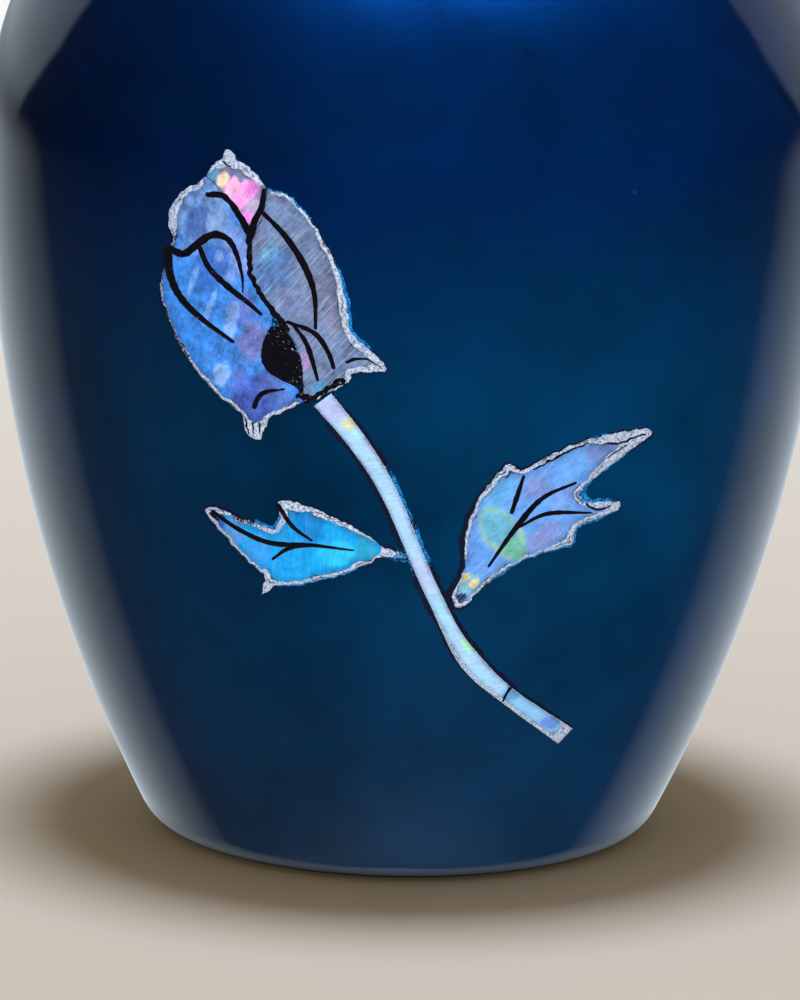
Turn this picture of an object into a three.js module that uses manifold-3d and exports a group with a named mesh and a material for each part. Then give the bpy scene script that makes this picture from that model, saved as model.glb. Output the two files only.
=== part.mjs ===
// A lacquered brass cremation urn with a rosebud of shell let into its front, and a lift-off lid.
// Millimetres, +Z up. The urn stands on z = 0 with its axis on Z, and the rose faces -Y.
import * as THREE from "three";
import { mergeVertices } from "three/addons/utils/BufferGeometryUtils.js";
import Module from "manifold-3d";

const wasm = await Module();
wasm.setup();

// Body: a long side arc and a round shoulder arc that meet upright at the widest place
const wall = 2.4;
const widestRadius = 84;
const widestHeight = 139.5;
const sideArc = 303;
const shoulderArc = 76;
const footRound = 9;
const neckRadius = 34;
const neckCove = 6;
const neckRise = 5;
const lipRound = 2.5;
const bodySides = 60;

// Lid: a plain dome with a rounded rim, a knob, and a spigot that drops into the neck
const lidGap = 0.3;
const spigotClearance = 0.6;
const spigotDepth = 9;
const spigotWall = 2.2;
const rimOverhang = 3;
const rimRound = 1.8;
const domeRise = 13;
const knobRadius = 8.5;
const knobNeckRadius = 5.5;
const knobNeckLength = 1.2;
const lidSides = 36;

// Inlay: plates bedded in pockets, standing slightly proud, with a line of cement round each
const plateProud = 0.5;
const pocketDepth = 0.8;
const bedGap = 0.3;
const cementLine = 0.8;
const sharpestMitre = 1.8;
const frontFrom = 30;

// Stem: a strip along a spline through these places, seen from the front as [across, up]
const stemRoute = [[-14.35, 99.1], [-8.5, 91.9], [-2.6, 82.1], [5.5, 63], [14, 47.5], [31.5, 31.5]];
const stemEndWidth = 4.3;
const stemMiddleWidth = 3;
const stemBulge = 1.1;
const stemBulgeAt = 0.7;
const stemBulgeReach = 0.08;
const stemJoint = 0.8;
const stemJointGap = 0.006;

// Straight steps that stand for each curve
const steps = {
  foot: 3,
  side: 10,
  shoulder: 8,
  cove: 3,
  lip: 4,
  insideSide: 5,
  insideShoulder: 4,
  underDome: 3,
  rim: 4,
  dome: 6,
  knob: 7,
  plateEdge: 4,
  stem: 14,
  stemEnd: 4,
};
const samePlace = 1e-6;
const mergeDistance = 1e-4;

// Plates seen from the front, anticlockwise. A corner is [across, up, bow]: the edge that leaves it
// bows out by that share of its own length.
const petalLeft = [
  [-19.2, 99.4, 0], [-20.4, 101.6, -0.3], [-25.2, 114.4, 0], [-29.5, 123.5, 0], [-29.6, 128.6, 0.085],
  [-37.2, 139.6, 0.04], [-41.6, 137.1, 0.06], [-44.1, 133.2, 0.12], [-43.1, 128.6, 0.03],
  [-45.9, 119.1, 0.105], [-29.9, 96.1, 0], [-29.8, 93.4, 0.2], [-26.5, 91.8, 0], [-25.2, 96.2, 0.03],
];
const petalRight = [
  [-17.6, 99.5, 0], [-10.4, 103.7, 0], [-10.1, 105.4, 0], [-3.9, 106, 0], [-4.1, 107.4, 0],
  [-10.7, 113.4, 0.1], [-21.6, 137.3, 0.08], [-25.4, 138.4, -0.05], [-28, 128.9, 0],
  [-28.1, 123.6, 0.06], [-21.1, 112.9, -0.07], [-18.1, 102.1, 0],
];
const petalCentre = [
  [-28.7, 131.2, 0.1], [-26.8, 138.6, 0.05], [-27.2, 140.6, 0.06], [-31.6, 143.6, 0],
  [-31.8, 144.6, 0.3], [-34.2, 144.5, 0], [-34.4, 143.6, 0.05], [-37, 141.1, 0.1], [-36, 140.4, 0],
];
const budInset = [[-19.9, 103.2, 0.15], [-24, 113.2, 0.36]];
const leafLeft = [
  [-37.4, 77, 0.04], [-25.7, 65, 0], [-26.5, 61, 0.2], [-24.6, 63, 0.055], [-4, 70.4, 0],
  [-1.4, 69.9, 0], [-1.4, 71, 0], [-4.2, 72.3, 0.06], [-20.8, 80.1, 0.1], [-23.5, 79.8, -0.2],
  [-24.4, 74.3, 0], [-34.9, 77.5, 0.1],
];
const leafRight = [
  [10.4, 60.6, 0.15], [12.4, 61.2, -0.11], [31.2, 71.7, 0], [32.2, 75.4, 0], [40, 78.1, 0.3],
  [39.8, 79.7, 0], [33.4, 80.1, 0], [31.8, 81.8, -0.04], [45.7, 91.7, 0], [45.6, 93.5, 0.08],
  [21.3, 86.8, 0], [19.1, 88.6, 0.13], [11.4, 68, 0], [9.8, 63.2, 0.05],
];

// Finishes: colour, roughness, metalness
const lacquer = [0x06305f, 0.18, 0.6];
const blackResin = [0x0b0b0e, 0.3, 0];
const shell = (colour) => [colour, 0.25, 0];

// Places that follow from the driving sizes
const sideCentre = widestRadius - sideArc;
const shoulderCentre = widestRadius - shoulderArc;
const footRise = widestHeight - footRound;
const footCentre = sideCentre + Math.sqrt((sideArc - footRound) ** 2 - footRise ** 2);
const footAngle = -Math.atan2(footRise, footCentre - sideCentre);
const coveCentre = neckRadius + neckCove;
const coveRun = coveCentre - shoulderCentre;
const coveRise = Math.sqrt((shoulderArc + neckCove) ** 2 - coveRun ** 2);
const coveHeight = widestHeight + coveRise;
const neckAngle = Math.atan2(coveRise, coveRun);
const lipHeight = coveHeight + neckRise + lipRound;
const mouthHeight = lipHeight + lipRound;
const boreRadius = neckRadius - wall;

const urn = new THREE.Group();

function at(radius, height) {
  return new THREE.Vector2(radius, height);
}

function arc(centreRadius, centreHeight, radius, from, to, count) {
  return Array.from({ length: count + 1 }, (_, i) => {
    const angle = from + ((to - from) * i) / count;
    return at(centreRadius + radius * Math.cos(angle), centreHeight + radius * Math.sin(angle));
  });
}

// One profile from several stretches, without the points that two stretches share
function joined(...stretches) {
  const points = stretches.flat();
  return points.filter((point, i) => i === 0 || point.distanceTo(points[i - 1]) > samePlace);
}

// The outside of the wall from the foot to the neck, moved out along its normal
function wallCurve(offset, sideCount, shoulderCount) {
  return joined(
    arc(sideCentre, widestHeight, sideArc + offset, footAngle, 0, sideCount),
    arc(shoulderCentre, widestHeight, shoulderArc + offset, 0, neckAngle, shoulderCount),
  );
}

// A closed mesh with its shared vertices merged becomes a solid that can be joined and cut
function solid(geometry) {
  geometry.deleteAttribute("normal");
  geometry.deleteAttribute("uv");
  const merged = mergeVertices(geometry, mergeDistance);
  const index = merged.index.array;
  const triangles = [];
  for (let i = 0; i < index.length; i += 3) {
    const corners = Array.from(index.slice(i, i + 3));
    if (new Set(corners).size === 3) triangles.push(...corners);
  }
  const vertProperties = new Float32Array(merged.attributes.position.array);
  const triVerts = new Uint32Array(triangles);
  return new wasm.Manifold(new wasm.Mesh({ numProp: 3, vertProperties, triVerts }));
}

// A profile of radius and height, turned round the axis with its first side at the front
function turned(profile, sides) {
  return solid(new THREE.LatheGeometry(profile, sides).rotateX(Math.PI / 2));
}

function addPiece(name, body, [color, roughness, metalness]) {
  const { vertProperties, triVerts } = body.getMesh();
  const geometry = new THREE.BufferGeometry();
  geometry.setAttribute("position", new THREE.BufferAttribute(vertProperties, 3));
  geometry.setIndex(new THREE.BufferAttribute(triVerts, 1));
  geometry.computeVertexNormals();
  const piece = new THREE.Mesh(geometry, new THREE.MeshStandardMaterial({ color, roughness, metalness }));
  piece.name = name;
  urn.add(piece);
}

function makeBody() {
  const quarter = Math.PI / 2;
  return turned(
    joined(
      [at(0, 0)],
      arc(footCentre, footRound, footRound, -quarter, footAngle, steps.foot),
      wallCurve(0, steps.side, steps.shoulder),
      arc(coveCentre, coveHeight, neckCove, neckAngle + Math.PI, Math.PI, steps.cove),
      arc(neckRadius, lipHeight, lipRound, -quarter, quarter, steps.lip),
      [at(boreRadius, mouthHeight)],
      arc(coveCentre, coveHeight, neckCove + wall, Math.PI, neckAngle + Math.PI, steps.cove),
      wallCurve(-wall, steps.insideSide, steps.insideShoulder).reverse(),
      arc(footCentre, footRound, footRound - wall, footAngle, -quarter, steps.foot),
      [at(0, wall)],
    ),
    bodySides,
  );
}

function makeLid() {
  const seat = mouthHeight + lidGap;
  const rimRadius = neckRadius + rimOverhang;
  const spigotRadius = boreRadius - spigotClearance;
  const hollowRadius = spigotRadius - spigotWall;
  const domeFoot = seat + 2 * rimRound;
  const domeRound = (rimRadius ** 2 + domeRise ** 2) / (2 * domeRise);
  const domeCentre = domeFoot + domeRise - domeRound;
  const underRound = domeRound - wall;
  const rimAngle = Math.acos(rimRadius / domeRound);
  const neckTop = Math.acos(knobNeckRadius / domeRound);
  const hollowAngle = Math.acos(hollowRadius / underRound);
  const knobStart = -Math.acos(knobNeckRadius / knobRadius);
  const knobCentre = domeCentre + domeRound + knobNeckLength - knobRadius * Math.sin(knobStart);
  const top = Math.PI / 2;
  return turned(
    joined(
      arc(0, domeCentre, underRound, top, hollowAngle, steps.underDome),
      [at(hollowRadius, seat - spigotDepth), at(spigotRadius, seat - spigotDepth), at(spigotRadius, seat)],
      arc(rimRadius, seat + rimRound, rimRound, -top, top, steps.rim),
      arc(0, domeCentre, domeRound, rimAngle, neckTop, steps.dome),
      arc(0, knobCentre, knobRadius, knobStart, top, steps.knob),
    ),
    lidSides,
  );
}

// Corners joined by bowed edges, as a list of points
function bowed(corners) {
  const shape = new THREE.Shape();
  shape.moveTo(corners[0][0], corners[0][1]);
  corners.forEach(([x, z, bow], i) => {
    const [nextX, nextZ] = corners[(i + 1) % corners.length];
    const pullX = (x + nextX) / 2 + 2 * bow * (nextZ - z);
    const pullZ = (z + nextZ) / 2 - 2 * bow * (nextX - x);
    if (bow === 0) shape.lineTo(nextX, nextZ);
    else shape.quadraticCurveTo(pullX, pullZ, nextX, nextZ);
  });
  return shape.getPoints(steps.plateEdge).slice(0, -1);
}

// A strip of the stem between two shares of its route, narrowest half way down, with a bulge below that
function strip(from, to, count) {
  const route = new THREE.SplineCurve(stemRoute.map(([x, z]) => at(x, z)));
  const edge = (side) => Array.from({ length: count + 1 }, (_, i) => {
    const share = from + ((to - from) * i) / count;
    const flare = (stemEndWidth - stemMiddleWidth) * (2 * share - 1) ** 2;
    const bulge = stemBulge * Math.exp(-(((share - stemBulgeAt) / stemBulgeReach) ** 2));
    const reach = (side * (stemMiddleWidth + flare + bulge)) / 2;
    const along = route.getTangentAt(share);
    return route.getPointAt(share).add(at(along.y * reach, -along.x * reach));
  });
  return [...edge(1), ...edge(-1).reverse()];
}

// An outline moved out by a distance, each point along the mean of its two edges' normals
function grown(points, distance) {
  return points.map((point, i) => {
    const onward = points[(i + 1) % points.length].clone().sub(point).normalize();
    const tangent = point.clone().sub(points.at(i - 1)).normalize().add(onward).normalize();
    const reach = distance * Math.min(1 / tangent.dot(onward), sharpestMitre);
    return at(point.x + tangent.y * reach, point.y - tangent.x * reach);
  });
}

// What an outline, carried straight back from the front, takes out of the wall between two depths
function letIn(outline, lowest, highest) {
  const straightBack = { depth: widestRadius, bevelEnabled: false };
  const flat = new THREE.ExtrudeGeometry(new THREE.Shape(outline), straightBack);
  const front = solid(flat.translate(0, 0, frontFrom).rotateX(Math.PI / 2));
  const inside = wallCurve(lowest, steps.side, steps.shoulder).reverse();
  const outside = wallCurve(highest, steps.side, steps.shoulder);
  return front.intersect(turned([...outside, ...inside, outside[0]], bodySides));
}

const plates = [
  ["petal_left", bowed(petalLeft), shell(0x8ea4dc)],
  ["petal_right", bowed(petalRight), shell(0xb6bdd2)],
  ["petal_centre", bowed(petalCentre), shell(0xe8a6e2)],
  ["bud_inset", bowed(budInset), blackResin],
  ["stem", strip(0, stemJoint - stemJointGap, steps.stem), shell(0xa6cff0)],
  ["stem_end", strip(stemJoint + stemJointGap, 1, steps.stemEnd), shell(0xb4dcf4)],
  ["leaf_left", bowed(leafLeft), shell(0x2fa4e6)],
  ["leaf_right", bowed(leafRight), shell(0x84a6ea)],
];

const pockets = plates.map(([, outline]) => letIn(grown(outline, cementLine), -pocketDepth, wall));
addPiece("urn_body", pockets.reduce((body, pocket) => body.subtract(pocket), makeBody()), lacquer);
addPiece("lid", makeLid(), lacquer);
plates.forEach(([name, outline, finish]) => {
  addPiece(name, letIn(outline, bedGap - pocketDepth, plateProud), finish);
});

export default urn;
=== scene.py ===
from functools import partial
import math

import bmesh
import bpy
import numpy as np
from mathutils import Matrix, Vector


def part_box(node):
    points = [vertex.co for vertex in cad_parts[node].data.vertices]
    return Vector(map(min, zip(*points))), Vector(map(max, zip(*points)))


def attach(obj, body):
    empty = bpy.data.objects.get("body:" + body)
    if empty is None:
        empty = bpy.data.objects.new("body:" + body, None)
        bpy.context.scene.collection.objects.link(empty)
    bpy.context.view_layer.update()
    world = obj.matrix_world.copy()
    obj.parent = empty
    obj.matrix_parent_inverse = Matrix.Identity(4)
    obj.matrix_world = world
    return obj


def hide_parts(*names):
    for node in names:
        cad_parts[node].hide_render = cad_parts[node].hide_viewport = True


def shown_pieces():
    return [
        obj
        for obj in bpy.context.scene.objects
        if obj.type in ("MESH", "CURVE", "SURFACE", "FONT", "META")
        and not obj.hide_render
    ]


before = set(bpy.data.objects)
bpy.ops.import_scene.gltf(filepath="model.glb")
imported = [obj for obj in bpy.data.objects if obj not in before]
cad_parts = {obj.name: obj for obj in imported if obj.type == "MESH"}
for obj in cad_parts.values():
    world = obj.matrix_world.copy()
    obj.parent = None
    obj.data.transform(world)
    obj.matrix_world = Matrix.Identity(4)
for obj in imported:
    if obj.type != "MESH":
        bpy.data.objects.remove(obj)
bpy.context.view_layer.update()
mm = 0.001
quarter = math.pi / 2
print("frame loaded with", len(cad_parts), "CAD nodes")


# sRGB hex to linear, as shaders and colour attributes want it
def linearColour(code):
    channels = np.array([int(code[place:place + 2], 16) for place in (1, 3, 5)]) / 255
    low = channels / 12.92
    high = ((channels + 0.055) / 1.055) ** 2.4
    return (*np.where(channels <= 0.04045, low, high).tolist(), 1.0)


# The setting that says how a node of each kind works
modes = {
    "Math": "operation",
    "VectorMath": "operation",
    "Mix": "data_type",
    "MapRange": "interpolation_type",
    "Attribute": "attribute_name",
}


# A shader node; gives back one of its outputs. Inputs are a list in the node's own order, or go by number
# or name, and each is a socket to link, an sRGB hex colour or a constant.
def addNode(tree, kind, inputs=(), mode=None, output=0):
    made = tree.nodes.new("ShaderNode" + kind)
    if mode:
        setattr(made, modes[kind], mode)
    for place, value in inputs.items() if isinstance(inputs, dict) else enumerate(inputs):
        if isinstance(value, bpy.types.NodeSocket):
            tree.links.new(value, made.inputs[place])
        else:
            made.inputs[place].default_value = linearColour(value) if isinstance(value, str) else value
    return made.outputs[output] if made.outputs else None


def newMaterial(name):
    material = bpy.data.materials.new(name)
    material.use_nodes = True
    material.node_tree.nodes.clear()
    return material, partial(addNode, material.node_tree)


def finishMaterial(add, inputs):
    add("OutputMaterial", {"Surface": add("BsdfPrincipled", inputs)})


# Smooth noise between -1 and 1 on places in mm: waves of about one size in many directions
def ripple(places, size, seed):
    waves = 9
    shortest, longest = 0.7, 1.5
    draw = np.random.default_rng(seed)
    heading = draw.uniform(0, 2 * math.pi, waves)
    length = size * draw.uniform(shortest, longest, waves)
    phase = draw.uniform(0, 2 * math.pi, waves)
    along = places[..., 0, None] * np.cos(heading) + places[..., 1, None] * np.sin(heading)
    return np.sin(2 * math.pi * along / length + phase).sum(-1) / math.sqrt(2 * waves)


def smoothStep(value, low, high):
    share = np.clip((value - low) / (high - low), 0, 1)
    return share * share * (3 - 2 * share)


# Meshes: creases sharper than this stay sharp, in degrees; points closer than this in metres are one; and
# how one, three or four numbers to a point are kept
creaseAngle = 40
weldDistance = 1e-7
layerKinds = {1: ("FLOAT", "value"), 3: ("FLOAT_VECTOR", "vector"), 4: ("FLOAT_COLOR", "color")}


# A grid of points in mm, rows by columns, as quads. Columns close into rings, and each ring that has
# shrunk to a point becomes one pole. Attributes have a number or a row of numbers for each grid point.
def ringMesh(name, grid, material, turnOver=False, **attributes):
    rows, columns = grid.shape[:2]
    index = np.arange(rows * columns).reshape(rows, columns)
    across = np.roll(index, -1, axis=1)
    quads = np.stack([index[:-1], across[:-1], across[1:], index[1:]], axis=-1).reshape(-1, 4)
    if turnOver:
        quads = quads[:, ::-1]
    mesh = bpy.data.meshes.new(name)
    mesh.from_pydata((grid.reshape(-1, 3) * mm).tolist(), [], quads.tolist())
    for label, values in attributes.items():
        numbers = np.asarray(values, dtype=float)
        kind, field = layerKinds[numbers[0, 0].size]
        mesh.attributes.new(label, kind, "POINT").data.foreach_set(field, numbers.ravel())
    shape = bmesh.new()
    shape.from_mesh(mesh)
    bmesh.ops.remove_doubles(shape, verts=shape.verts, dist=weldDistance)
    shape.to_mesh(mesh)
    shape.free()
    mesh.polygons.foreach_set("use_smooth", [True] * len(mesh.polygons))
    mesh.set_sharp_from_angle(angle=math.radians(creaseAngle))
    mesh.materials.append(material)
    piece = bpy.data.objects.new(name, mesh)
    bpy.context.scene.collection.objects.link(piece)
    return piece


def place(piece, slot, *nodes):
    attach(piece, "root")
    if nodes:
        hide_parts(*nodes)


# Body: a long side arc and a round shoulder arc that meet upright at the widest place, in mm; and the rows
# along each curve of its profile, outside and in
body = {
    "wall": 2.4,
    "widestHeight": 139.5,
    "sideArc": 303,
    "shoulderArc": 76,
    "footRound": 9,
    "neckRadius": 34,
    "neckCove": 6,
    "neckRise": 5,
    "lipRound": 2.5,
    "frontAngle": 40,
    "frontColumns": 150,
    "restColumns": 80,
    "rows": {"foot": 14, "side": 160, "shoulder": 56, "cove": 10, "lip": 14},
    "insideRows": {"foot": 8, "side": 24, "shoulder": 20, "cove": 8},
}
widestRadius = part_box("urn_body")[1][0] / mm
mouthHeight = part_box("urn_body")[1][2] / mm
sideCentre = widestRadius - body["sideArc"]
shoulderCentre = widestRadius - body["shoulderArc"]
footRise = body["widestHeight"] - body["footRound"]
footCentre = sideCentre + math.sqrt((body["sideArc"] - body["footRound"]) ** 2 - footRise ** 2)
footAngle = -math.atan2(footRise, footCentre - sideCentre)
coveCentre = body["neckRadius"] + body["neckCove"]
coveRun = coveCentre - shoulderCentre
coveRise = math.sqrt((body["shoulderArc"] + body["neckCove"]) ** 2 - coveRun ** 2)
coveHeight = body["widestHeight"] + coveRise
neckAngle = math.atan2(coveRise, coveRun)
lipHeight = coveHeight + body["neckRise"] + body["lipRound"]
boreRadius = body["neckRadius"] - body["wall"]


# Radius and height along an arc of the profile: centre + radius (cos a, sin a)
def arc(centreRadius, centreHeight, radius, start, end, count):
    angle = np.linspace(start, end, count + 1)
    return np.stack([centreRadius + radius * np.cos(angle), centreHeight + radius * np.sin(angle)], axis=-1)


# Places on the front of the wall, seen from the front at (x, z) in mm, lifted along the wall's normal. The
# wall's radius and normal come from the side arc below the widest place and the shoulder arc above.
def onWall(places, lift):
    x, z = places[..., 0], places[..., 1]
    up = z - body["widestHeight"]
    bend = np.where(up < 0, body["sideArc"], body["shoulderArc"])
    centre = np.where(up < 0, sideCentre, shoulderCentre)
    out = np.sqrt(bend ** 2 - up ** 2)
    turn = np.arcsin(x / (centre + out))
    radius = centre + out * (1 + lift / bend)
    height = z + lift * up / bend
    return np.stack([radius * np.sin(turn), -radius * np.cos(turn), height], axis=-1)


# A profile of radius and height turned round Z: (r cos a, r sin a, z) at each angle
def turned(profile, angle):
    radius = profile[:, 0, None]
    height = profile[:, 1, None] + 0 * angle
    return np.stack([radius * np.cos(angle), radius * np.sin(angle), height], axis=-1)


# Ways along a run of points, turned a quarter to the left and made one long
def leftOf(ways):
    ways = ways / np.linalg.norm(ways, axis=1, keepdims=True)
    return np.stack([-ways[:, 1], ways[:, 0]], axis=-1)


# Length along a run of points, at each of them
def lengthAlong(points):
    return np.concatenate([[0], np.cumsum(np.linalg.norm(np.diff(points, axis=0), axis=1))])


# A run of points, read again at other stops of its length
def readAt(stops, length, points):
    return np.stack([np.interp(stops, length, points[:, axis]) for axis in (0, 1)], axis=-1)


# A closed run of points, again at an even spacing along its length
def evenly(points, spacing):
    loop = np.concatenate([points, points[:1]])
    length = lengthAlong(loop)
    count = int(length[-1] / spacing)
    return readAt(np.linspace(0, length[-1], count, endpoint=False), length, loop)


# A smooth run through a few places (Catmull-Rom), at even steps of its length
def through(places, count, between=24):
    knots = np.array(places, dtype=float)
    knots = np.concatenate([2 * knots[:1] - knots[1:2], knots, 2 * knots[-1:] - knots[-2:-1]])
    share = np.linspace(0, 1, between, endpoint=False)[None, :, None]
    first, second, third, fourth = (knots[step:len(knots) - 3 + step, None] for step in range(4))
    curve = second + 0.5 * share * (third - first + share * (
        2 * first - 5 * second + 4 * third - fourth + share * (3 * (second - third) + fourth - first)))
    curve = np.concatenate([curve.reshape(-1, 2), knots[-2:-1]])
    length = lengthAlong(curve)
    return readAt(np.linspace(0, length[-1], count), length, curve)


# Outlines: the steps along each bowed edge, and the long and short waves of the ragged edge in mm
outlining = {"steps": 80, "longWaves": 2.2, "longShare": 0.6, "shortWaves": 0.9, "shortShare": 0.4}


# Corners joined by bowed edges, as evenly spaced points. Each edge is a quadratic curve whose middle
# stands off its chord by the corner's bow times the chord; the points then get a fine ragged edge.
def outlineOf(corners, spacing, ragged, seed):
    start = np.array(corners)[:, :2]
    bow = np.array(corners)[:, 2:]
    end = np.roll(start, -1, axis=0)
    chord = end - start
    pull = (start + end) / 2 + 2 * bow * np.stack([chord[:, 1], -chord[:, 0]], axis=-1)
    share = np.linspace(0, 1, outlining["steps"], endpoint=False)[:, None]
    curve = (1 - share) ** 2 * start[:, None] + 2 * share * (1 - share) * pull[:, None]
    curve = curve + share ** 2 * end[:, None]
    points = evenly(curve.reshape(-1, 2), spacing)
    points = (np.roll(points, 1, axis=0) + 2 * points + np.roll(points, -1, axis=0)) / 4
    inward = leftOf(np.roll(points, -1, axis=0) - np.roll(points, 1, axis=0))
    wander = outlining["longShare"] * ripple(points, outlining["longWaves"], seed)
    wander = wander + outlining["shortShare"] * ripple(points, outlining["shortWaves"], seed + 1)
    return points - inward * ragged * wander[:, None]


# Distance in mm from each place to the nearest of some points, and the way from that point
def nearest(places, points):
    flat = places.reshape(-1, 2)
    gap = flat[:, None] - points[None]
    distance = np.linalg.norm(gap, axis=-1)
    closest = distance.argmin(axis=1)
    rows = np.arange(len(flat))
    return distance[rows, closest].reshape(places.shape[:-1]), gap[rows, closest].reshape(places.shape)


# Blue lacquer over spun brass, sprayed and polished: a deep translucent blue with slow clouds in it,
# darker and purer above and greener below, under a clear glossy skin with a trace of orange peel. Sizes are
# in mm. Here and below, a span is where a value starts and ends and what it becomes at each.
lacquerLook = {
    "upper": "#002254",
    "lower": "#013d67",
    "upperSpan": (0.115, 0.175, 0, 1),
    "upperWander": 0.05,
    "grazing": "#0a1a3a",
    "cloudSize": 34,
    "cloudDepth": 1.5,
    "darkest": 0.05,
    "fineSize": 7,
    "fineDepth": 0.35,
    "speck": "#275776",
    "speckSize": 11,
    "speckSpan": (0.02, 0.05, 0.35, 0),
    "speckRarity": 0.7,
    "peelSize": 1.8,
}


def makeLacquer():
    look = lacquerLook
    material, add = newMaterial("blue lacquer on brass")
    coords = add("TexCoord", output="Object")
    cloud = add("TexNoise", {
        "Vector": coords, "Scale": 1 / (look["cloudSize"] * mm), "Detail": 3, "Roughness": 0.55})
    fine = add("TexNoise", {
        "Vector": coords, "Scale": 1 / (look["fineSize"] * mm), "Detail": 4, "Roughness": 0.6})
    height = add("SeparateXYZ", [coords], output=2)
    wavy = add("Math", [cloud, look["upperWander"], height], "MULTIPLY_ADD")
    rise = add("MapRange", [wavy, *look["upperSpan"]], "SMOOTHSTEP")
    blue = add("Mix", {0: rise, 6: look["lower"], 7: look["upper"]}, "RGBA", 2)
    shade = add("Math", [cloud, look["cloudDepth"], look["darkest"]], "MULTIPLY_ADD")
    shade = add("Math", [fine, look["fineDepth"], shade], "MULTIPLY_ADD")
    clouded = add("VectorMath", {0: blue, 3: shade}, "SCALE")
    dust = add("TexVoronoi", {"Vector": coords, "Scale": 1 / (look["speckSize"] * mm), "Randomness": 1})
    dusty = add("MapRange", [dust, *look["speckSpan"]])
    kept = add("SeparateColor", [dust.node.outputs["Color"]])
    kept = add("Math", [kept, look["speckRarity"]], "GREATER_THAN")
    dusty = add("Math", [dusty, kept], "MULTIPLY")
    dusted = add("Mix", {0: dusty, 6: clouded, 7: look["speck"]}, "RGBA", 2)
    peel = add("TexNoise", {"Vector": coords, "Scale": 1 / (look["peelSize"] * mm), "Detail": 1})
    peeled = add("Bump", {"Strength": 0.05, "Distance": 0.05 * mm, "Height": peel})
    finishMaterial(add, {
        "Base Color": dusted, "Metallic": 0.85, "Roughness": 0.36, "Specular Tint": look["grazing"],
        "Coat Weight": 1, "Coat Roughness": 0.03, "Coat IOR": 1.7, "Coat Normal": peeled})
    return material


# Mother-of-pearl, sawn, let in and polished: tinted plates with cloudy mottling, faint growth lines along
# the grain and fine bright scratches, with painted shade darkening them towards a ragged rim of ground shell
# and filler that is pale in some places and stained dark in others.
shellLook = {
    "scratch": "#d3e3fa",
    "scratchSize": 0.24,
    "scratchStretch": 0.3,
    "scratchSpan": (0.56, 0.7, 0, 0.7),
    "grainSize": 0.36,
    "grainSpan": (0.3, 0.7, 0.9, 1.1),
    "mottleSize": 2.6,
    "mottleSpan": (0.34, 0.66, -0.54, 0.52),
    # painted shade: from the rim inwards, in mm, the pearl goes from darker to full
    "edgeShadeSpan": (0, 1.8, 0.74, 1.05),
    "wanderSize": 2.8,
    "wanderSpan": (0.3, 0.7, 0.42, -0.42),
    "rim": "#d6e1f5",
    "rimShade": "#7284ac",
    "rimSpan": (-0.08, 0.08, 0, 1),
    "gritSize": 0.42,
    "gritSpan": (0.38, 0.62, 0, 1),
    "rimStain": "#241d3a",
    "stainGrit": 1.2,
    "stainSpan": (0.94, 1.06, 1, 0),
    "crack": "#171629",
    "crackSpan": (0.06, 0.15, 1, 0),
    "crackBreaks": (0.5, 0.58, 0, 0.85),
    "secondCrack": 0.7,
    "polishSpan": (0, 1, 0.5, 0.24),
}


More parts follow.
